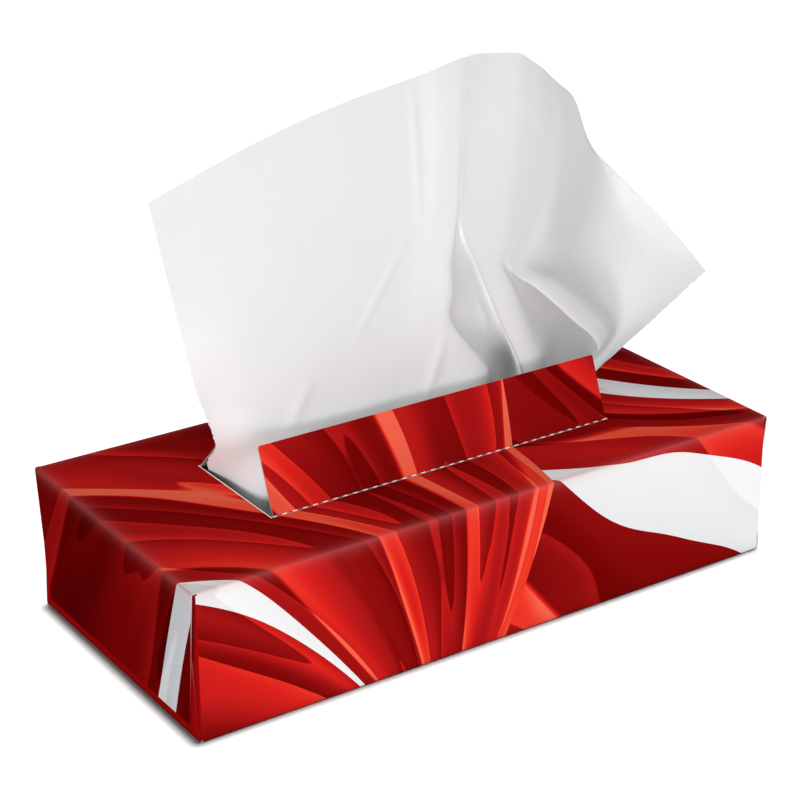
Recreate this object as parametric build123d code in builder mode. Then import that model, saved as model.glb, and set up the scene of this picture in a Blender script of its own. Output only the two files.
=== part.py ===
from build123d import *
import math
import os

# A flat carton of facial tissues, opened, with one tissue pulled part of the way out.
# Millimetres. X runs along the carton, Y from its front to its back, Z up.
# The origin is the middle of the carton's base.

# Carton, over its outside
length = 240.0
width = 113.0
height = 54.0
board = 0.45
fold_radius = 0.8
glue_film = 0.1

# Lengthwise seam, inside the back panel
seam_lap = 16.0
seam_edge_lift = 0.5
seam_glue_width = 8.0
seam_glue_inset = 4.0

# End flaps, outermost first
outer_flap_low_edge = 4.3
outer_flap_side_relief = 0.3
outer_flap_taper = 5.2
lower_flap_depth = 40.0
lower_flap_taper = 4.5
flap_corner_radius = 1.2
dust_flap_depth = 44.0
dust_flap_taper = 6.0
dust_flap_clearance = 0.5
end_glue_width = 12.0
end_glue_length = 78.0
end_glue_height = 26.0

# Opening in the top panel, torn along its perforations into two leaves
opening_length = 142.0
opening_centre = -1.0
leaf_depth = 24.2
leaf_gap = 1.1
leaf_side_gap = 0.5
leaf_corner_radius = 0.8
hinge_gap = 0.12
front_leaf_angle = 68.9
back_leaf_angle = 45.0
perforation_pitch = 4.0
perforation_cut = 2.2
perforation_width = 0.3

# Folded tissues left in the carton
stack_end_clearance = 5.4
stack_side_clearance = 3.5
stack_headroom = 15.1
fold_bundle = 3.8
bundle_bulge = 1.2

# Pulled tissue
tissue_thickness = 0.4
tissue_clearance = 0.3
tissue_panels = 18
panel_steps = 7
foot_gather = 0.9

layer_pitch = board + glue_film
centreline = board / 2
bend = fold_radius - centreline
outer_end = length / 2
lower_end = outer_end - layer_pitch
dust_end = lower_end - layer_pitch
tube_end = dust_end - fold_radius
lap_face = width / 2 - layer_pitch
hinge_y = leaf_depth + leaf_gap / 2
stack_length = 2 * (dust_end - board - stack_end_clearance)
stack_width = 2 * (lap_face - board - stack_side_clearance)
stack_base = board
stack_top = height - board - stack_headroom
stack_height = stack_top - stack_base


def bent_board(plane, points, run):
    """Board of even thickness, bent with the fold radius at each corner of its path."""
    with BuildPart() as strip:
        with BuildSketch(plane):
            with BuildLine():
                FilletPolyline(*points, radius=bend)
            trace(line_width=board)
        extrude(amount=run / 2, both=True)
    return strip.part


def end_flap(points, flap_width, tip_width, root, tip):
    """End flap on a crease along Y: its outline tapers from root height to tip height."""
    strip = bent_board(Plane.XZ, points, flap_width)
    with BuildPart() as flap:
        add(strip)
        with BuildSketch(Plane.YZ) as outline:
            with BuildLine():
                Polyline(
                    (-flap_width / 2, root[0]),
                    (flap_width / 2, root[0]),
                    (flap_width / 2, root[1]),
                    (tip_width / 2, tip),
                    (-tip_width / 2, tip),
                    (-flap_width / 2, root[1]),
                    close=True,
                )
            make_face()
            corners = outline.vertices().filter_by(lambda v: abs(v.Z - tip) < board)
            fillet(corners, flap_corner_radius)
        extrude(amount=length, mode=Mode.INTERSECT)
    return flap.part


def dust_flap():
    """Inner flap on the front panel's upright crease, tapered towards its free edge."""
    strip = bent_board(
        Plane.XY.offset(height / 2),
        [
            (tube_end - fold_radius, -width / 2 + centreline),
            (dust_end - centreline, -width / 2 + centreline),
            (dust_end - centreline, -width / 2 + dust_flap_depth),
        ],
        height,
    )
    low = board + dust_flap_clearance
    high = height - low
    root = -width / 2 + fold_radius
    tip = -width / 2 + dust_flap_depth
    with BuildPart() as flap:
        add(strip)
        with BuildSketch(Plane.YZ) as outline:
            with BuildLine():
                Polyline(
                    (-width / 2, low),
                    (root, low),
                    (tip, low + dust_flap_taper),
                    (tip, high - dust_flap_taper),
                    (root, high),
                    (-width / 2, high),
                    close=True,
                )
            make_face()
            corners = outline.vertices().filter_by(lambda v: abs(v.Y - tip) < board)
            fillet(corners, flap_corner_radius)
        extrude(amount=length, mode=Mode.INTERSECT)
    return flap.part


outer_flap_width = width - 2 * outer_flap_side_relief
outer_flap = end_flap(
    [
        (tube_end, height - centreline),
        (outer_end - centreline, height - centreline),
        (outer_end - centreline, outer_flap_low_edge),
    ],
    outer_flap_width,
    outer_flap_width - 2 * outer_flap_taper,
    (height, height - fold_radius),
    outer_flap_low_edge,
)
lower_flap = end_flap(
    [
        (tube_end, centreline),
        (lower_end - centreline, centreline),
        (lower_end - centreline, lower_flap_depth),
    ],
    outer_flap_width,
    outer_flap_width - 2 * lower_flap_taper,
    (0, fold_radius),
    lower_flap_depth,
)
front_dust_flap = dust_flap()

# The carton: one sheet wrapped round into a tube, its ends folded shut, its top cut open
with BuildPart() as carton:
    with BuildSketch(Plane.YZ):
        with BuildLine():
            FilletPolyline(
                (width / 2 - centreline, seam_edge_lift),
                (width / 2 - centreline, height - centreline),
                (-width / 2 + centreline, height - centreline),
                (-width / 2 + centreline, centreline),
                (lap_face - centreline, centreline),
                (lap_face - centreline, seam_lap),
                radius=bend,
            )
        trace(line_width=board)
    extrude(amount=tube_end, both=True)
    add(outer_flap)
    add(lower_flap)
    add(front_dust_flap)
    add(front_dust_flap.mirror(Plane.XZ))
    add(outer_flap.mirror(Plane.YZ))
    add(lower_flap.mirror(Plane.YZ))
    add(front_dust_flap.mirror(Plane.YZ))
    add(front_dust_flap.mirror(Plane.XZ).mirror(Plane.YZ))
    with BuildSketch(Plane.XY.offset(height)):
        with Locations((opening_centre, 0)):
            Rectangle(opening_length, 2 * (hinge_y + hinge_gap))
    extrude(amount=-2 * board, mode=Mode.SUBTRACT)
carton.part.label = "carton"


def leaf(side, angle):
    """Leaf of the opening, raised by angle about its crease; side is -1 in front."""
    lean = math.radians(angle)
    printed_face = Plane(
        origin=(opening_centre, side * hinge_y, height),
        x_dir=(-side, 0, 0),
        z_dir=(0, side * math.sin(lean), math.cos(lean)),
    )
    leaf_length = opening_length - 2 * leaf_side_gap
    with BuildPart() as flap:
        with BuildSketch(printed_face) as outline:
            Rectangle(leaf_length, leaf_depth, align=(Align.CENTER, Align.MIN))
            free_edge = outline.edges().filter_by(Axis.X).sort_by(Axis.Z)[-1]
            fillet(free_edge.vertices(), leaf_corner_radius)
            with GridLocations(perforation_pitch, 0, int(leaf_length / perforation_pitch), 1):
                Rectangle(perforation_cut, 2 * perforation_width, mode=Mode.SUBTRACT)
        extrude(amount=-board)
    return flap


front_flap = leaf(-1, front_leaf_angle)
front_flap.part.label = "front_flap"

back_flap = leaf(1, back_leaf_angle)
back_flap.part.label = "back_flap"

# The folded tissues: each side is a row of rounded folds, drawn in bundles
with BuildPart() as tissue_stack:
    with BuildSketch(Plane.YZ):
        with Locations((0, stack_base + stack_height / 2)):
            Rectangle(stack_width - 2 * bundle_bulge, stack_height)
        for bundle in range(int(stack_height / fold_bundle)):
            with Locations((0, stack_base + (bundle + 0.5) * fold_bundle)):
                SlotOverall(stack_width, fold_bundle)
    extrude(amount=stack_length / 2, both=True)
tissue_stack.part.label = "tissue_stack"

# The pulled tissue: a thin sheet skinned over its fold lines, from its left edge to its
# right one. Each line runs from the free top edge down to the opening, and the third
# number of a point is its height above the top panel.
tissue_lines = {
    "left edge": [
        (-104, -10, 111), (-100, -10, 93), (-95, -8, 70), (-86, -2, 43), (-76, 5, 16), (-71, 18, 2),
    ],
    "left end": [
        (-83, -10, 118), (-82, -10, 96), (-78, -10, 73), (-73, -6, 47), (-65, 1, 20), (-62, 12, 4),
    ],
    "left panel": [
        (-61, -10, 125), (-60, -10, 100), (-57, -11, 74), (-52, -10, 48), (-46, -6, 22), (-50, 0, 5),
    ],
    "wide panel": [
        (-32, -8, 131), (-33, -10, 103), (-33, -12, 76), (-32, -12, 52), (-28, -9, 25), (-30, -4, 6),
    ],
    "strip": [
        (8, -8, 137), (5, -11, 108), (2, -12, 80), (1, -12, 59), (6, -10, 29), (6, -6, 6),
    ],
    "front ridge": [
        (16, -8, 139), (13, -11, 108), (10, -13, 80), (9, -13, 58), (17, -12, 35), (22, -7, 6),
    ],
    "pale crease": [
        (25, -6, 139), (20, -9, 106), (16, -10, 77), (27, -10, 53), (37, -10, 29), (38, -7, 6),
    ],
    "middle panel": [
        (45, -1, 135), (40, -5, 102), (35, -8, 73), (38, -8, 53), (49, -8, 28), (52, -5, 6),
    ],
    "lower roll": [
        (70, 7, 118), (70, 5, 89), (59, 0, 65), (57, -6, 50), (82, -8, 23), (65, -5, 6),
    ],
    "back crease": [
        (96, 20, 88), (97, 18, 73), (87, 12, 56), (80, 3, 42), (88, -4, 24), (66, -7, 6),
    ],
    "right panel": [
        (113, -3, 61), (108, -3, 48), (101, -3, 37), (94, -4, 27), (84, -8, 17), (67, -10, 6),
    ],
    "right edge": [
        (119, -20, 46), (108, -19, 39), (98, -17, 31), (88, -15, 24), (77, -12, 15), (68, -11, 6),
    ],
}
tissue_foot = stack_top + tissue_clearance + tissue_thickness


def spline(points):
    """Smooth edge through the points."""
    with BuildLine() as line:
        Spline(*points)
    return line.edge()


def fold_line(points):
    """Points of one fold line, carried on down to rest just above the folded tissues."""
    slot_x, slot_y = points[-1][:2]
    foot = Vector(slot_x * foot_gather, slot_y * foot_gather, tissue_foot)
    return [*(Vector(x, y, height + rise) for x, y, rise in points), foot]


fold_lines = [fold_line(points) for points in tissue_lines.values()]
levels = list(zip(*fold_lines))
tissue_form = Face.make_gordon_surface(
    [spline(level) for level in levels],
    [spline(line) for line in fold_lines],
)


def panel_edge(across, shift):
    """Edge down the sheet, at a share of its width, shifted out along the sheet's normal."""
    points = []
    for step in range(panel_steps + 1):
        down = step / panel_steps
        out = tissue_form.normal_at(across, down) * shift
        points.append(tissue_form.position_at(across, down) + out)
    return spline(points)


def bridge(edge_a, edge_b):
    """Ruled face between two edges."""
    return Face.make_surface_from_curves(edge_a, edge_b)


half_sheet = tissue_thickness / 2
outer_edges = [panel_edge(i / tissue_panels, half_sheet) for i in range(tissue_panels + 1)]
inner_edges = [panel_edge(i / tissue_panels, -half_sheet) for i in range(tissue_panels + 1)]
sheet_faces = [bridge(outer_edges[i], inner_edges[i]) for i in (0, tissue_panels)]
for i in range(tissue_panels):
    outer, inner = outer_edges[i : i + 2], inner_edges[i : i + 2]
    sheet_faces.append(bridge(*outer))
    sheet_faces.append(bridge(*inner))
    for end in (0, 1):
        rims = [Edge.make_line(a @ end, b @ end) for a, b in (outer, inner)]
        sheet_faces.append(bridge(*rims))
with BuildPart() as pulled_tissue:
    add(Solid(Shell(sheet_faces)))
pulled_tissue.part.label = "pulled_tissue"

# Glue: a line inside the seam, and a patch between the two large flaps of each end
with BuildPart() as seam_glue:
    with BuildSketch(Plane.XZ.offset(-lap_face)):
        with Locations((0, seam_glue_inset + seam_glue_width / 2)):
            Rectangle(2 * (tube_end - seam_glue_inset), seam_glue_width)
    extrude(amount=-glue_film)
seam_glue.part.label = "seam_glue"


def end_glue(side):
    """Glue patch between the lower and the outer end flap; side is -1 at the left end."""
    with BuildPart() as patch:
        with BuildSketch(Plane.YZ.offset(side * lower_end)):
            with Locations((0, end_glue_height)):
                Rectangle(end_glue_length, end_glue_width)
        extrude(amount=side * glue_film)
    return patch


end_glue_left = end_glue(-1)
end_glue_left.part.label = "end_glue_left"

end_glue_right = end_glue(1)
end_glue_right.part.label = "end_glue_right"

os.makedirs("parts", exist_ok=True)
export_step(carton.part, "parts/carton.step")
export_step(front_flap.part, "parts/front_flap.step")
export_step(back_flap.part, "parts/back_flap.step")
export_step(pulled_tissue.part, "parts/pulled_tissue.step")
export_step(tissue_stack.part, "parts/tissue_stack.step")
export_step(seam_glue.part, "parts/seam_glue.step")
export_step(end_glue_left.part, "parts/end_glue_left.step")
export_step(end_glue_right.part, "parts/end_glue_right.step")
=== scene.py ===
"""A flat carton of facial tissues, opened, with one tissue pulled part of the way out."""
import math

import bpy
import numpy as np
from mathutils import Matrix, Vector


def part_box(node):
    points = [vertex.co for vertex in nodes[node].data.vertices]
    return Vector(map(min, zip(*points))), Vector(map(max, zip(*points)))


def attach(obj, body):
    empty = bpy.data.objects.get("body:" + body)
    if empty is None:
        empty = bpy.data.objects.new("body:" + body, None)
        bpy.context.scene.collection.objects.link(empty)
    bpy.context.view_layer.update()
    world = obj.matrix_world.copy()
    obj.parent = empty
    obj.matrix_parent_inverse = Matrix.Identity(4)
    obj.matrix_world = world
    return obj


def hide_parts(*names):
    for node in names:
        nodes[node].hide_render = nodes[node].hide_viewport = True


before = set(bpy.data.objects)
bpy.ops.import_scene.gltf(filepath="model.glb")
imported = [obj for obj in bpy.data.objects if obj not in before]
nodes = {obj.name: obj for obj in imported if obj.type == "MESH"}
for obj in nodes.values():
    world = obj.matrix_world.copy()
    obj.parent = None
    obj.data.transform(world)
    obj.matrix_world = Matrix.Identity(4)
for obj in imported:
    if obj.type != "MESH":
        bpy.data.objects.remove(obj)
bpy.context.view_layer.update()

MM = 0.001
NOISE = np.random.default_rng(7)

# Carton and leaves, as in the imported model: millimetres, and each leaf's angle from shut
LENGTH, WIDTH, HEIGHT = 240.0, 113.0, 54.0
HINGE_Y = 24.75
FRONT_LEAF, BACK_LEAF = math.radians(68.9), math.radians(45.0)
OPENING, OPENING_X = 142.0, -1.0
STACK_TOP = 38.45


# Small helpers

# Places of the two colours and of the result among a Mix node's inputs and outputs
MIX_BELOW, MIX_ABOVE, MIX_RESULT = 6, 7, 2


def srgb(code):
    """Linear colour from a hex code, as the shader sockets take it."""
    parts = [int(code[i : i + 2], 16) / 255 for i in (1, 3, 5)]
    return (*(c / 12.92 if c <= 0.04045 else ((c + 0.055) / 1.055) ** 2.4 for c in parts), 1.0)


def add_node(tree, kind, *values, inputs=None, stops=(), output=0, **settings):
    """Adds a node to a tree and returns one of its outputs.

    The kind is Blender's name of the node, or of an operation of its Math node. Values go to
    the first inputs and inputs to those named: a socket is linked, a number or colour is set.
    Settings are the node's properties, and stops the (place, colour) pairs of a colour ramp.
    """
    if kind.isupper():
        settings["operation"] = kind
        kind = "ShaderNodeMath"
    made = tree.nodes.new(kind)
    for name, value in settings.items():
        setattr(made, name, value)
    for place, value in (dict(enumerate(values)) | (inputs or {})).items():
        if isinstance(value, bpy.types.NodeSocket):
            tree.links.new(value, made.inputs[place])
        else:
            made.inputs[place].default_value = value
    if stops:
        elements = made.color_ramp.elements
        elements.remove(elements[1])
        elements[0].position, elements[0].color = stops[0]
        for place, colour in stops[1:]:
            elements.new(place).color = colour
    return made.outputs[output] if len(made.outputs) else None


def new_material(name, values):
    """Material with values for its shader's inputs; returns it with its tree and shader."""
    material = bpy.data.materials.new(name)
    material.use_nodes = True
    shader = material.node_tree.nodes["Principled BSDF"]
    for socket, value in values.items():
        shader.inputs[socket].default_value = value
    return material, material.node_tree, shader


def place_object(name, data):
    """Object in the scene, at the origin."""
    made = bpy.data.objects.new(name, data)
    bpy.context.scene.collection.objects.link(made)
    return made


def new_object(name, points, faces):
    """Smooth-shaded mesh object from an array of points in millimetres and an array of faces."""
    mesh = bpy.data.meshes.new(name)
    mesh.from_pydata((points * MM).tolist(), [], faces.tolist())
    mesh.shade_smooth()
    return place_object(name, mesh)


def grid_faces(rows, columns):
    """Quads of a grid of points stored row by row."""
    index = np.arange(rows * columns).reshape(rows, columns)
    corners = index[:-1, :-1], index[1:, :-1], index[1:, 1:], index[:-1, 1:]
    return np.stack(corners, -1).reshape(-1, 4)


# Printed board

# The print is drawn on the unfolded carton. s runs along the carton from its middle, and t
# up the front panel, back over the top panel and down the back panel, with 0 at the front
# top fold. Both are in millimetres. An end flap continues the top panel over its fold.
# The folds of satin are a light level, 0 in the deepest shade and 1 on the sharpest crease,
# which a ramp turns to red, or to white in the white folds.
SATIN = [
    (0.00, srgb("#3c0001")), (0.15, srgb("#5c0203")), (0.35, srgb("#780606")), (0.52, srgb("#8f0e0e")),
    (0.68, srgb("#b41819")), (0.82, srgb("#da221d")), (0.93, srgb("#f03c2a")), (1.00, srgb("#f4664c")),
]
SILK = [
    (0.00, srgb("#b9bbbf")), (0.30, srgb("#d6d7db")), (0.50, srgb("#e9eaec")), (0.75, srgb("#f6f6f7")),
]
# Fans of folds: apex (s, t), start and end angle in degrees, turn in degrees per 100 mm,
# wander of the folds as a share of the fan, light levels by share of the fan, and a white
# fold: its middle and half its width as shares, and in millimetres the distance where it is
# widest and from there to its pointed ends.
FANS = [
    ((-330, 40), -30, 26, 5, 0.3, [
        (0, .3), (.12, .45), (.2, .9), (.206, .35), (.3, .42), (.36, .62), (.43, .95), (.436, .3),
        (.5, .4), (.58, .66), (.63, .9), (.636, .34), (.72, .42), (.84, .8), (.846, .35), (1, .5),
    ], (.77, .04, 480, 150)),
    ((215, -20), 118, 188, 16, 0.3, [
        (0, .95), (.012, .6), (.12, .42), (.24, .34), (.34, .6), (.4, .92), (.406, .34), (.52, .4),
        (.62, .7), (.66, .9), (.666, .3), (.8, .42), (.92, .86), (.926, .3), (1, .4),
    ], (.78, .04, 130, 105)),
    ((-28, -98), 50, 124, -12, 0.26, [
        (0, .98), (.015, .66), (.1, .5), (.2, .6), (.28, .92), (.286, .38), (.4, .5), (.5, .82),
        (.53, .95), (.536, .4), (.66, .52), (.76, .72), (.82, .92), (.826, .45), (.93, .64), (1, .36),
    ], (.885, .03, 185, 160)),
]
# Noise waves per radian that make the folds sway and that crease them, and waves per
# millimetre along a fold; the creases' seed after the fan's own, the light level across one
# crease, and how strongly it shows
SWAY_WAVES, CREASE_WAVES, WAVES_ALONG = 2.0, 6.0, 0.006
FINE_SEED = 5
ONE_CREASE = [(.36, .5), (.47, .7), (.5, .8), (.503, .36), (.6, .5)]
CREASE_SHARE = 0.7
# Light level between the fans, and on the end faces its square times this: painted shade that darkens the end
# faces as if they stood out of the light
PLAIN_LIGHT, END_PAINTED_SHADE = 0.5, 0.52


def grey(stops):
    """Ramp stops of grey from (place, level) pairs."""
    return [(place, (level, level, level, 1)) for place, level in stops]


def over(tree, below, above, cover):
    """One value laid over another by its cover."""
    return add_node(tree, "MULTIPLY_ADD", add_node(tree, "SUBTRACT", above, below), cover, below)


def polar(tree, place, apex, start, turn):
    """Distance from the apex, and angle about it from a start, turned in proportion to the distance."""
    offset = add_node(tree, "ShaderNodeVectorMath", place, (*apex, 0), operation="SUBTRACT")
    far = add_node(tree, "ShaderNodeVectorMath", offset, output="Value", operation="LENGTH")
    parts = add_node(tree, "ShaderNodeSeparateXYZ", offset).node.outputs
    angle = add_node(tree, "ARCTAN2", parts[1], parts[0])
    angle = add_node(tree, "MULTIPLY_ADD", far, math.radians(turn) / 100, angle)
    angle = add_node(tree, "SUBTRACT", angle, math.radians(start))
    return far, add_node(tree, "FLOORED_MODULO", angle, math.tau)


def folds(tree, angle, run, waves, seed):
    """Smooth noise from 0 to 1 with its waves across the folds, stretched along them."""
    across = add_node(tree, "MULTIPLY", angle, waves)
    spot = add_node(tree, "ShaderNodeCombineXYZ", across, run, seed)
    return add_node(tree, "ShaderNodeTexNoise", spot, inputs={"Scale": 1.0, "Detail": 1.0})


def fan(tree, place, seed, apex, start, end, turn, wander, levels, white):
    """Light level of folds that open from an apex, where they are white, and where the fan lies.

    The level goes by the angle as a share of the fan. Noise that is stretched along the folds
    moves them sideways, and a finer one adds creases, each a glow that ends in a sharp shaded
    edge. The white fold is where the share is nearer its middle than half a width that falls
    with the square of the distance from its widest place.
    """
    far, angle = polar(tree, place, apex, start, turn)
    share = add_node(tree, "DIVIDE", angle, math.radians(end - start))
    run = add_node(tree, "MULTIPLY", far, WAVES_ALONG)
    sway = add_node(tree, "SUBTRACT", folds(tree, angle, run, SWAY_WAVES, seed), 0.5)
    swayed = add_node(tree, "MULTIPLY_ADD", sway, wander, share)
    level = add_node(tree, "ShaderNodeValToRGB", swayed, stops=grey(levels))
    fine = folds(tree, angle, run, CREASE_WAVES, seed + FINE_SEED)
    crease = add_node(tree, "ShaderNodeValToRGB", fine, stops=grey(ONE_CREASE))
    crease = add_node(tree, "MULTIPLY_ADD", crease, CREASE_SHARE, -CREASE_SHARE / 2)
    level = add_node(tree, "ADD", level, crease)
    middle, half, widest, reach = white
    taper = add_node(tree, "DIVIDE", add_node(tree, "SUBTRACT", far, widest), reach)
    taper = add_node(tree, "POWER", taper, 2.0)
    taper = add_node(tree, "MULTIPLY_ADD", taper, -half, half)
    silk = add_node(tree, "COMPARE", swayed, middle, taper)
    return level, silk, add_node(tree, "LESS_THAN", swayed, 1.0)


def satin_print():
    """Node group: colour of the print at a place (s, t) of the unfolded carton, with painted shade darkening
    the end faces.
    """
    tree = bpy.data.node_groups.new("satin_print", "ShaderNodeTree")
    tree.interface.new_socket("Place", in_out="INPUT", socket_type="NodeSocketVector")
    tree.interface.new_socket("Color", in_out="OUTPUT", socket_type="NodeSocketColor")
    place = add_node(tree, "NodeGroupInput")
    s = add_node(tree, "ShaderNodeSeparateXYZ", place)
    light, white = PLAIN_LIGHT, 0.0
    for seed, values in enumerate(FANS):
        level, silk, inside = fan(tree, place, seed, *values)
        light = over(tree, light, level, inside)
        white = over(tree, white, silk, inside)
    # Painted shade: on the end faces the light level is squared and scaled down, so the ends read as if out
    # of the light
    end_face = add_node(tree, "GREATER_THAN", add_node(tree, "ABSOLUTE", s), LENGTH / 2)
    painted_end_shade = add_node(tree, "MULTIPLY", add_node(tree, "MULTIPLY", light, light), END_PAINTED_SHADE)
    light = over(tree, light, painted_end_shade, end_face)
    red, silver = (add_node(tree, "ShaderNodeValToRGB", light, stops=stops) for stops in (SATIN, SILK))
    both = {MIX_BELOW: red, MIX_ABOVE: silver}
    colour = add_node(tree, "ShaderNodeMix", white, inputs=both, output=MIX_RESULT, data_type="RGBA")
    add_node(tree, "NodeGroupOutput", colour)
    return tree


PRINT = satin_print()


# A face counts as turned to a side where its normal has at least this share in that direction
FACING = 0.5
# In millimetres: how deep behind an end the end flaps lie, how far an end face reaches past
# its edge with a side, and how deep the outer end flap alone lies
END_FLAPS, END_OVER_SIDE, OUTER_FLAP = 3.0, 0.25, 0.3
# Painted sheen beside the top panel's folds, a pale highlight painted where the folds would catch the light:
# its strength at the fold, and the distance in millimetres over which it falls to 0.37 of that
PAINTED_SHEEN, PAINTED_SHEEN_REACH = 0.32, 1.7
# Width in millimetres of the torn rim at the ends of the opening and along its creases, and
# of the worn line at the foot of each leaf
TORN_END, TORN_CREASE, WORN_FOOT = 0.45, 0.23, 0.28
PRINT_ROUGHNESS, BARE_ROUGHNESS = 0.35, 0.85


def carton_faces(tree, spot, normal):
    """Where each spot of the carton lies on the print, and what else marks it.

    Returns s and t, how far the face looks outwards, and covers from 0 to 1: the painted sheen beside the top
    folds, a highlight painted into the colour (the strength times e to the power of minus distance over
    reach), the torn rim of the opening, plain red edges and flaps, and the wear of the cut edges (the cube of
    the height as a share of the carton's).
    """
    x, y, z = add_node(tree, "ShaderNodeSeparateXYZ", spot).node.outputs
    nx, ny, nz = add_node(tree, "ShaderNodeSeparateXYZ", normal).node.outputs
    side_x = add_node(tree, "SIGN", x)
    side_y = add_node(tree, "SIGN", y)
    rise = add_node(tree, "SUBTRACT", z, HEIGHT)
    middle = add_node(tree, "SUBTRACT", z, HEIGHT / 2)
    in_x = add_node(tree, "SUBTRACT", LENGTH / 2, add_node(tree, "ABSOLUTE", x))
    in_y = add_node(tree, "SUBTRACT", WIDTH / 2, add_node(tree, "ABSOLUTE", y))
    in_z = add_node(tree, "SUBTRACT", HEIGHT / 2, add_node(tree, "ABSOLUTE", middle))
    out_x = add_node(tree, "MULTIPLY", nx, side_x)
    out_y = add_node(tree, "MULTIPLY", ny, side_y)
    out_z = add_node(tree, "MULTIPLY", nz, add_node(tree, "SIGN", middle))
    nearest = add_node(tree, "MINIMUM", add_node(tree, "ADD", in_y, END_OVER_SIDE), in_z)
    inner_flap = add_node(tree, "LESS_THAN", in_x, END_FLAPS)
    inner_flap = add_node(tree, "MULTIPLY", add_node(tree, "GREATER_THAN", out_x, FACING), inner_flap)
    on_end = add_node(tree, "MAXIMUM", add_node(tree, "LESS_THAN", in_x, nearest), inner_flap)
    outward = over(tree, out_z, out_y, add_node(tree, "LESS_THAN", in_y, in_z))
    outward = over(tree, outward, out_x, on_end)
    beyond_fold = add_node(tree, "MULTIPLY", add_node(tree, "MULTIPLY", side_x, rise), on_end)
    s = add_node(tree, "SUBTRACT", x, beyond_fold)
    off_end = add_node(tree, "SUBTRACT", 1.0, on_end)
    beyond_fold = add_node(tree, "MULTIPLY", add_node(tree, "MULTIPLY", side_y, rise), off_end)
    t = add_node(tree, "SUBTRACT", add_node(tree, "ADD", y, WIDTH / 2), beyond_fold)

    from_middle = add_node(tree, "ABSOLUTE", add_node(tree, "SUBTRACT", x, OPENING_X))
    past_end = add_node(tree, "SUBTRACT", from_middle, OPENING / 2 + TORN_END)
    past_crease = add_node(tree, "SUBTRACT", add_node(tree, "ABSOLUTE", y), HINGE_Y + TORN_CREASE)
    on_top = add_node(tree, "GREATER_THAN", nz, FACING)
    torn = add_node(tree, "LESS_THAN", add_node(tree, "MAXIMUM", past_end, past_crease), 0.0)
    torn = add_node(tree, "MULTIPLY", on_top, torn)
    # Painted sheen: a pale highlight painted beside the top panel's folds, fading with distance from the fold
    from_fold = add_node(tree, "SUBTRACT", HEIGHT, z)
    from_fold = over(tree, from_fold, add_node(tree, "MINIMUM", in_x, in_y), on_top)
    painted_sheen = add_node(tree, "EXPONENT", add_node(tree, "DIVIDE", from_fold, -PAINTED_SHEEN_REACH))
    painted_sheen = add_node(tree, "MULTIPLY", painted_sheen, PAINTED_SHEEN)
    cut = add_node(tree, "LESS_THAN", add_node(tree, "ABSOLUTE", outward), FACING)
    cut = add_node(tree, "MULTIPLY", on_end, cut)
    behind = add_node(tree, "MULTIPLY", on_end, add_node(tree, "GREATER_THAN", in_x, OUTER_FLAP))
    plain = add_node(tree, "MAXIMUM", cut, behind)
    worn = add_node(tree, "MULTIPLY", cut, add_node(tree, "POWER", add_node(tree, "DIVIDE", z, HEIGHT), 3.0))
    return s, t, outward, painted_sheen, torn, plain, worn


def leaf_faces(tree, spot, normal, side, lean):
    """The same for a leaf: s is x, and t runs from the hinge up the leaf."""
    s = add_node(tree, "ShaderNodeSeparateXYZ", spot)
    up_leaf = (0, -side * math.cos(lean), math.sin(lean))
    face = (0, side * math.sin(lean), math.cos(lean))
    from_hinge = add_node(
        tree, "ShaderNodeVectorMath", spot, (0, side * HINGE_Y, HEIGHT), operation="SUBTRACT"
    )
    along, outward = (
        add_node(tree, "ShaderNodeVectorMath", *pair, output="Value", operation="DOT_PRODUCT")
        for pair in ((from_hinge, up_leaf), (normal, face))
    )
    t = add_node(tree, "MULTIPLY_ADD", along, -side, WIDTH / 2 + side * HINGE_Y)
    return s, t, outward, add_node(tree, "LESS_THAN", along, WORN_FOOT)


def printed_board(name, leaf=None):
    """Folding box board, white-lined and offset printed: red satin outside, bare grey within.

    The varnished print is smooth but has no clear mirror, and the recycled inner ply is matt.
    The torn rim of the opening shows a hair of white fibre, and so does the worn foot of a leaf. On the
    carton a pale sheen is painted along the folds of the top panel, a painted highlight where the folds would
    catch the light; the flaps' cut edges carry ink from the print and are pale only where the fold has worn,
    and what lies behind them is plain red. A leaf is given as its side (-1 front) and its lean.
    """
    material, tree, shader = new_material(name, {"Specular IOR Level": 0.0})
    where = add_node(tree, "ShaderNodeTexCoord").node.outputs
    spot = add_node(
        tree, "ShaderNodeVectorMath", where["Object"], inputs={"Scale": 1 / MM}, operation="SCALE"
    )
    if leaf is None:
        s, t, outward, painted_sheen, torn, plain, worn = carton_faces(tree, spot, where["Normal"])
        # The first mark is the painted sheen, a pale highlight painted along the top folds
        marks = [(painted_sheen, "#e27676"), (torn, "#ffffff"), (plain, "#9a0b0c"), (worn, "#d8c4c0")]
    else:
        s, t, outward, worn = leaf_faces(tree, spot, where["Normal"], *leaf)
        marks = [(worn, "#ffffff")]
    unfolded = add_node(tree, "ShaderNodeCombineXYZ", s, t, 0.0)
    artwork = add_node(tree, "ShaderNodeGroup", unfolded, node_tree=PRINT)
    printed = add_node(tree, "GREATER_THAN", outward, FACING)
    colour = srgb("#c9c7c2")
    for cover, above in [(printed, artwork), *((cover, srgb(code)) for cover, code in marks)]:
        both = {MIX_BELOW: colour, MIX_ABOVE: above}
        colour = add_node(tree, "ShaderNodeMix", cover, inputs=both, output=MIX_RESULT, data_type="RGBA")
    tree.links.new(colour, shader.inputs["Base Color"])
    tree.links.new(over(tree, BARE_ROUGHNESS, PRINT_ROUGHNESS, printed), shader.inputs["Roughness"])
    return material


def dress(node, material):
    """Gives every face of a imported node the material."""
    for place in nodes[node].material_slots:
        place.material = material


dress("carton", printed_board("printed_carton_board"))
dress("front_flap", printed_board("printed_front_leaf_board", (-1, FRONT_LEAF)))
dress("back_flap", printed_board("printed_back_leaf_board", (1, BACK_LEAF)))

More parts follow.
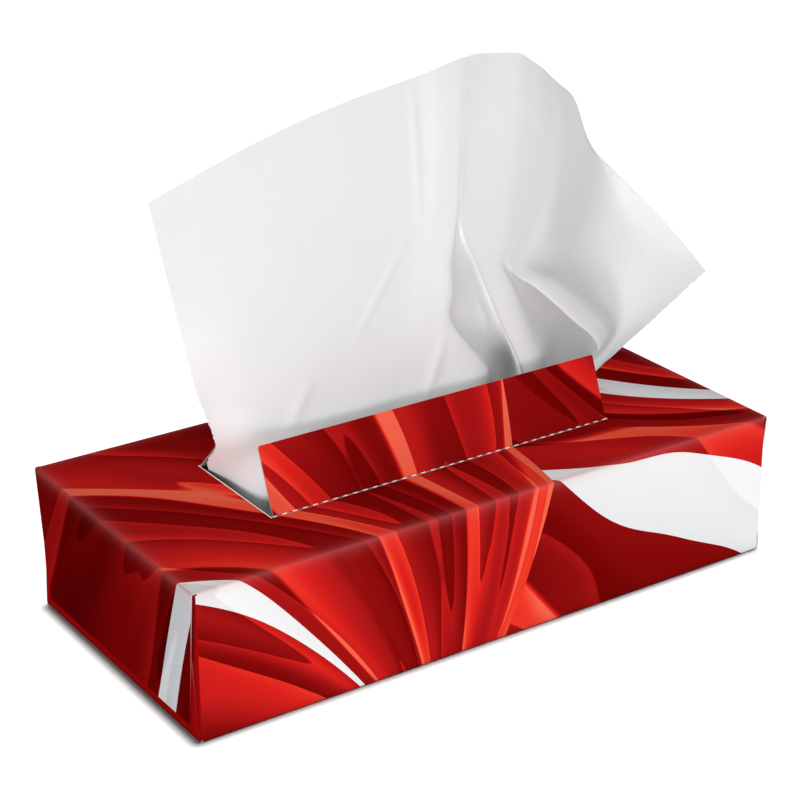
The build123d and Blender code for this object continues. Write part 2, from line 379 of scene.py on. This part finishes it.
# Dispersion glue, rolled on and dried, gives a cream film with a dull shine
glue = new_material("dried_carton_glue", {"Base Color": srgb("#e6dfcc"), "Roughness": 0.4})[0]
for name in ("seam_glue", "end_glue_left", "end_glue_right"):
    dress(name, glue)


# Tissues

# Crinkle of the paper: width and height of its largest waves in millimetres, how many times
# they are halved, and how strongly it shows
CRINKLE, CRINKLE_HEIGHT, CRINKLE_HALVINGS, CRINKLE_STRENGTH = 20.0, 1.2, 6.0, 0.4


def tissue_paper():
    """Two-ply facial tissue, creped from soft pulp: white, with no gloss.

    Its surface is softly uneven: noise with waves 20 mm across, and with waves half as wide
    six times over, down to the 0.3 mm of the creping, which is too fine to show.
    """
    values = {"Base Color": srgb("#eaebeb"), "Roughness": 0.95, "Specular IOR Level": 0.1}
    material, tree, shader = new_material("two_ply_tissue", values)
    where = add_node(tree, "ShaderNodeTexCoord", output="Object")
    crinkle = {"Scale": 1 / (CRINKLE * MM), "Detail": CRINKLE_HALVINGS}
    height = add_node(tree, "ShaderNodeTexNoise", where, inputs=crinkle)
    bump = {"Strength": CRINKLE_STRENGTH, "Distance": CRINKLE_HEIGHT * MM, "Height": height}
    tree.links.new(add_node(tree, "ShaderNodeBump", inputs=bump), shader.inputs["Normal"])
    return material


tissue = tissue_paper()

# Fold lines of the pulled tissue, from its left edge to its right one. Each runs from the
# free top edge down to the opening: x, y and height above the top panel, in millimetres.
LINES = np.array([
    # Left edge
    [(-103.8, -10, 111.4), (-102.1, -10, 102.3), (-100.1, -9.5, 92.8), (-97.6, -9, 81.8), (-94.6, -7.5, 69.8),
     (-90.9, -5, 57.8), (-86.7, -2, 43.1), (-81.2, 1.5, 29.6), (-75.8, 5.5, 15.8), (-71.3, 20, 1.5)],
    # Flat left panel, three lines
    [(-83.4, -10, 118.3), (-82.9, -10, 107.4), (-81.6, -10, 96.2), (-80.3, -10, 84.5), (-78.5, -9.7, 72.8),
     (-76.7, -9, 60.4), (-74.5, -7.5, 47.7), (-72.7, -6, 34.2), (-70.6, -4.5, 18.9), (-68, 14, -4)],
    [(-61.1, -9.5, 124.8), (-60.8, -10, 112.3), (-60, -10.5, 99.6), (-58.9, -11, 86.6), (-57.4, -11, 73.8),
     (-56.2, -10.8, 61.6), (-55.3, -10.6, 48.5), (-54.8, -10.4, 35), (-54.7, -10, 19.8), (-65.8, -8, -4.7)],
    [(-32.2, -8.5, 131), (-32.8, -9.5, 117.3), (-32.9, -10.5, 102.6), (-32.7, -11, 88.2),
     (-32.9, -11.4, 75.8), (-32.4, -11.6, 63), (-31.9, -11.6, 49.9), (-30.8, -11.4, 35),
     (-29.6, -10.9, 18.9), (-39, -4, 3)],
    # Narrow strip up the middle, two lines
    [(-2.2, -7.5, 135.1), (-2.5, -9, 122.6), (-3.1, -10, 107.4), (-4.4, -10.7, 93.9), (-6.2, -11.2, 82),
     (-7.7, -11.5, 69.2), (-9.1, -11.6, 55.7), (-10, -11.5, 39.4), (-9.6, -10.7, 18.3), (-10, -8, 5)],
    [(7.5, -8, 137.2), (6.1, -9.9, 124.8), (5.3, -11.1, 108), (3.5, -12, 91), (2, -12.3, 79.6),
     (0.6, -12.5, 68.5), (0.2, -12.5, 56.9), (0.5, -12, 42.7), (8.1, -10.9, 18.6), (6, -8, 5)],
    # Front ridge, and two lines of the valley behind it
    [(15.7, -7.8, 138.8), (13.7, -9.9, 126), (12.4, -11.2, 108.5), (11.1, -12.3, 91.4), (9.7, -12.9, 80.4),
     (8.6, -13, 69.9), (9.1, -12.9, 58.8), (9.1, -12.4, 47.6), (25.9, -10.9, 23.9), (22, -8, 5)],
    [(17.9, -7.6, 138.8), (15.5, -9.7, 125.6), (14, -11, 108.2), (12.5, -12.1, 91.1), (11.4, -12.3, 79.6),
     (12.1, -10.5, 68.1), (13.3, -9.7, 56.2), (13.4, -9.3, 44.9), (32.7, -4, 19.1), (28, 0, 3)],
    [(20.6, -7.2, 139), (17.7, -9.4, 125.2), (15.9, -10.7, 107.8), (13.9, -11.9, 90.8), (13.3, -11.7, 78.9),
     (23, -6.5, 63.5), (30.2, -4.5, 49.8), (35.2, -4, 38.7), (51.7, 8, 9.3), (42, 10, 3)],
    # Crease where the valley meets the middle panel, and a line beside it
    [(23.8, -6.8, 139), (20.3, -9, 124.7), (17.8, -10.4, 107.4), (15.3, -11.7, 90.5), (14.3, -12.3, 78.6),
     (20, -11.8, 66.1), (25.8, -11.2, 53.6), (31, -10.8, 42.2), (40.9, -10.5, 19.8), (40, -7, 6)],
    [(28, -6.2, 138.4), (23.9, -8.6, 124), (20.9, -10.1, 106.7), (17.6, -11.4, 90), (15.9, -12.1, 78.3),
     (21.4, -11.6, 65.7), (27.1, -11.1, 53.3), (32.4, -10.7, 41.8), (42.5, -10.4, 19.8), (42, -7, 6)],
    # Middle panel
    [(41.7, -5.8, 136.3), (39.7, -7.8, 121.4), (37, -9, 103.7), (34.4, -10, 86.4), (32.4, -10.6, 74.2),
     (30.8, -10.6, 65.7), (37, -10.1, 53.5), (42.9, -9.6, 41.4), (51.9, -9.1, 20.6), (52, -5, 6)],
    # Roll: under it, inside it, along its edge and over its front
    [(47.7, -4.8, 132.8), (46.8, -6.4, 118.1), (44.7, -7.4, 100.2), (41.7, -8.4, 83.9), (38.2, -9.2, 71.9),
     (34.2, -9.6, 63.2), (44.5, -5.5, 49.3), (56.3, -1, 34.9), (69.1, 1, 14), (58, 3, 5)],
    [(54.3, -3, 128.6), (53.6, -4.4, 114.1), (51, -5.5, 97.9), (47.3, -6.8, 82.4), (42.7, -7.9, 70.3),
     (37, -8.8, 60.9), (56.6, -1.5, 47.4), (76.1, 3.5, 31.5), (91.5, 4, 14.2), (64, 8, 4)],
    [(59.6, -0.8, 124.5), (59.3, -2.2, 110.5), (56.9, -3.6, 95.3), (52.9, -5.2, 80.9), (47.3, -6.6, 69),
     (39.5, -8.4, 59.2), (49.6, -8.8, 50), (63.4, -9, 36.7), (77.9, -9, 20.1), (64, -4, 6)],
    [(65.9, 2, 120), (67.2, 0.8, 104.9), (65.6, -0.6, 91.5), (61.7, -2.6, 78.6), (56, -4.6, 66.7),
     (46.8, -6.4, 59.3), (56.9, -7.4, 51.1), (69.7, -8, 38.5), (82, -8.5, 22.9), (65, -5, 6)],
    # Shaded band behind the roll, and the crease at the back of it
    [(79.6, 10.5, 110.2), (80.8, 10.4, 96.9), (80.1, 9.5, 84.1), (76, 7.3, 72.1), (70.9, 4.5, 61.2),
     (65.8, 1.2, 54.7), (68.3, -2.3, 47.5), (77.1, -4.5, 37.7), (85.4, -6, 24.1), (65.5, -6, 6)],
    [(94.9, 19, 88.3), (97.7, 18, 80.7), (95.9, 16.5, 73.7), (91.3, 14, 66.2), (85.5, 10.5, 56.6),
     (79.3, 6.5, 49.6), (78.8, 2, 42.1), (83.4, -1.5, 33.1), (88.4, -4, 24), (66, -7, 6)],
    # Right panel, two lines
    [(103.9, 13, 76.6), (105.8, 12, 68.7), (104.3, 11, 62.2), (100.1, 9, 55.7), (95.8, 7, 49.3),
     (92.1, 5, 43.5), (88.6, 1, 36.7), (88.9, -2, 28.8), (88.7, -5, 21.1), (66.5, -8, 6)],
    [(113, -3, 61.3), (111.9, -3, 54.4), (108.3, -3, 48), (104.3, -3, 42.5), (100.7, -3, 37),
     (97.5, -3, 32.1), (94.1, -4, 26.7), (89.8, -6, 21.9), (84.5, -8, 17.4), (67, -9.5, 6)],
    # Right edge
    [(118.7, -20.5, 45.9), (113.5, -20, 42.6), (108.3, -19, 38.6), (103.1, -18, 34.7), (98.4, -17, 31.1),
     (93.7, -16, 27.5), (88, -15, 23.7), (82.8, -13.5, 19.2), (76.7, -12, 14.6), (68, -11, 6)],
])
LINES[..., 2] += HEIGHT
# Inside the carton every line goes on to the stack, drawn in by a tenth, and stops a hair
# above it
FOOT_SHARE, ABOVE_STACK = 0.9, 0.7
FOOT = LINES[:, -1:] * (FOOT_SHARE, FOOT_SHARE, 0) + (0, 0, STACK_TOP + ABOVE_STACK)
LINES = np.concatenate([LINES, FOOT], axis=1)


def smooth_through(values, count):
    """Points on smooth curves through the first axis of values.

    Cubic Hermite pieces with slopes averaged from the neighbouring chords, and a parameter
    that grows with the square root of each chord's length, so short runs don't overshoot.
    """
    chords = np.linalg.norm(np.diff(values, axis=0), axis=-1)
    steps = np.sqrt(chords).reshape(len(chords), -1).mean(axis=1)
    knots = np.concatenate([[0], np.cumsum(steps)])
    shape = (-1,) + (1,) * (values.ndim - 1)
    width = steps.reshape(shape)
    slope = np.diff(values, axis=0) / width
    tangent = np.empty_like(values)
    tangent[1:-1] = (slope[:-1] * width[1:] + slope[1:] * width[:-1]) / (width[1:] + width[:-1])
    tangent[0] = 2 * slope[0] - tangent[1]
    tangent[-1] = 2 * slope[-1] - tangent[-2]
    at = np.linspace(0, knots[-1], count)
    piece = np.clip(np.searchsorted(knots, at, side="right") - 1, 0, len(steps) - 1)
    span = steps[piece].reshape(shape)
    part = ((at - knots[piece]) / steps[piece]).reshape(shape)
    return (
        (2 * part**3 - 3 * part**2 + 1) * values[piece]
        + (part**3 - 2 * part**2 + part) * span * tangent[piece]
        + (3 * part**2 - 2 * part**3) * values[piece + 1]
        + (part**3 - part**2) * span * tangent[piece + 1]
    )


# Small creases of the sheet: x and z of both ends, height and half width, in millimetres
CREASES = [
    (-23, 109.5, 10, 113, 0.45, 1.3),
    (7, 99, -1, 73, 0.7, 2.2),
    (-7, 137, -32, 101, 0.45, 1.7),
    (-47, 94, -57, 74, 0.6, 2.6),
    (-4, 190, -3, 138, 0.35, 1.6),
    (24, 108, 34, 84, 0.4, 1.5),
]
# Torn edges of the sheet: its line, the one beside it, and the height below which it is torn;
# the deepest and the longest tooth, in millimetres
TORN_EDGES = [(-1, -2, 200), (0, 1, 112)]
TOOTH_IN, TOOTH_OUT = -0.4, 0.25
ACROSS, DOWN = 400, 200

down_lines = np.swapaxes(smooth_through(np.swapaxes(LINES, 0, 1), DOWN), 0, 1)
sheet_points = smooth_through(down_lines, ACROSS)
x, z = sheet_points[..., 0], sheet_points[..., 2]
# A crease is a ridge towards the front: half a sine wave along it, and across it e to the
# power of minus the square of distance over half width
for x0, z0, x1, z1, rise, half_width in CREASES:
    run = np.array((x1 - x0, z1 - z0))
    along = np.clip(((x - x0) * run[0] + (z - z0) * run[1]) / (run @ run), 0, 1)
    off = np.hypot(x - x0 - along * run[0], z - z0 - along * run[1])
    sheet_points[..., 1] -= rise * np.sin(math.pi * along) * np.exp(-((off / half_width) ** 2))
for edge, beside, top in TORN_EDGES:
    outward = sheet_points[edge] - sheet_points[beside]
    outward /= np.linalg.norm(outward, axis=-1, keepdims=True)
    teeth = NOISE.uniform(TOOTH_IN, TOOTH_OUT, DOWN) * (sheet_points[edge, :, 2] < top)
    sheet_points[edge] += outward * teeth[:, None]

pulled = new_object("pulled_tissue_sheet", sheet_points.reshape(-1, 3), grid_faces(ACROSS, DOWN))
pulled.data.materials.append(tissue)
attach(pulled, "box")
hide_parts("pulled_tissue")

# The folded tissues left in the carton. The outline across them goes up one side, over the
# top and down the other. A side is a row of half circles, one for each tissue, and each is
# drawn in by a random sag. The outline is repeated along the carton.
LAYERS, SAG = 24, 1.2
POINTS_PER_FOLD, POINTS_OVER_TOP, STATIONS = 7, 38, 60
low, high = (np.array(corner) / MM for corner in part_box("tissue_stack"))
turn = np.linspace(-np.pi / 2, np.pi / 2, POINTS_PER_FOLD)
pitch = (high[2] - low[2]) / LAYERS
rim_y = np.tile(np.cos(turn) * pitch / 2, LAYERS)
rim_z = (np.arange(LAYERS)[:, None] + 0.5 + np.sin(turn) / 2).ravel() * pitch + low[2]
sag = np.repeat(NOISE.uniform(0, SAG, LAYERS), POINTS_PER_FOLD)
side_y = high[1] - pitch / 2 + rim_y - sag
top_y = np.linspace(side_y[-1], -side_y[-1], POINTS_OVER_TOP + 2)[1:-1]
outline_y = np.concatenate([side_y, top_y, -side_y[::-1]])
outline_z = np.concatenate([rim_z, np.full(POINTS_OVER_TOP, rim_z[-1]), rim_z[::-1]])
stations = np.linspace(low[0], high[0], STATIONS)
ring = np.stack(np.broadcast_arrays(stations[:, None], outline_y[None], outline_z[None]), -1)
stack_faces = grid_faces(STATIONS, len(outline_y))
stack = new_object("folded_tissues", ring.reshape(-1, 3), stack_faces[:, ::-1])
stack.data.materials.append(tissue)
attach(stack, "box")
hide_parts("tissue_stack")

# Floor, light and camera

# Half the floor's side in millimetres, and in metres the spot that the lights look at
FLOOR_HALF = 6000
LOOK_AT = (0, 0, 0.08)
corners = np.array([(-1, -1, 0), (1, -1, 0), (1, 1, 0), (-1, 1, 0)]) * FLOOR_HALF
floor = new_object("floor", corners, np.array([(0, 1, 2, 3)]))
# Uncoated paper is dead matt, and its own light makes this pale grey read as white
matt = {"Base Color": srgb("#a8a8a8"), "Roughness": 1.0, "Specular IOR Level": 0.0}
floor.data.materials.append(new_material("studio_paper", matt)[0])


def turn_to(light, direction):
    """Points a light along a direction."""
    light.rotation_euler = Vector(direction).to_track_quat("-Z", "Y").to_euler()


def softbox(name, place, size, power):
    """Square softbox of a size at a place, in metres, that looks at the middle of the object."""
    lamp = bpy.data.lights.new(name, "AREA")
    lamp.size = size
    lamp.energy = power
    light = place_object(name, lamp)
    light.location = place
    turn_to(light, Vector(LOOK_AT) - Vector(place))
    return light


def gather(name, members):
    """Collection of objects for light linking."""
    group = bpy.data.collections.new(name)
    for member in members:
        group.objects.link(member)
    return group


# The front light falls on the carton, a lower one on its raised leaves, and a low left one
# on the tissues, which brings out the folds. The paper has its own light, nearly overhead,
# that draws the tight shadow.
front_light = softbox("front_light", place=(-0.5, -1.3, 1.1), size=0.8, power=9)
front_light.light_linking.receiver_collection = gather("packed_nodes", [nodes[name] for name in nodes])
leaf_light = softbox("leaf_light", place=(-0.3, -1.4, 0.7), size=0.6, power=3.5)
leaf_light.light_linking.receiver_collection = gather("leaves", [nodes["front_flap"], nodes["back_flap"]])
left_light = softbox("left_light", place=(-1.46, -0.82, 0.3), size=0.5, power=13.8)
left_light.light_linking.receiver_collection = gather("tissues", [pulled, stack])
left_light.light_linking.blocker_collection = gather("left_blockers", [pulled, stack, nodes["carton"]])
sun = bpy.data.lights.new("paper_light", "SUN")
sun.energy = 8.2
sun.angle = math.radians(5)
overhead = place_object("paper_light", sun)
turn_to(overhead, (-0.04, -0.025, -1))
overhead.light_linking.receiver_collection = gather("paper", [floor])
world = bpy.data.worlds.new("studio")
bpy.context.scene.world = world
world.use_nodes = True
background = world.node_tree.nodes["Background"].inputs
background["Color"].default_value = (1, 1, 1, 1)
background["Strength"].default_value = 0.45

# The camera is fitted to the carton's corners in the photograph: lens in millimetres, place
# in metres, and the ways that its right, its top and its back face
lens = bpy.data.cameras.new("camera")
lens.sensor_width = 36
lens.lens = 97.15
lens.clip_start = 0.01
camera = place_object("camera", lens)
right = (0.82975524, -0.55808904, -0.0065475)
up = (0.22625747, 0.32562461, 0.91802842)
back = (-0.51020957, -0.76322031, 0.39646054)
pose = Matrix((right, up, back)).transposed().to_4x4()
pose.translation = (-0.39315, -0.58202, 0.37331)
camera.matrix_world = pose
bpy.context.scene.camera = camera
bpy.context.scene.view_settings.view_transform = "Standard"
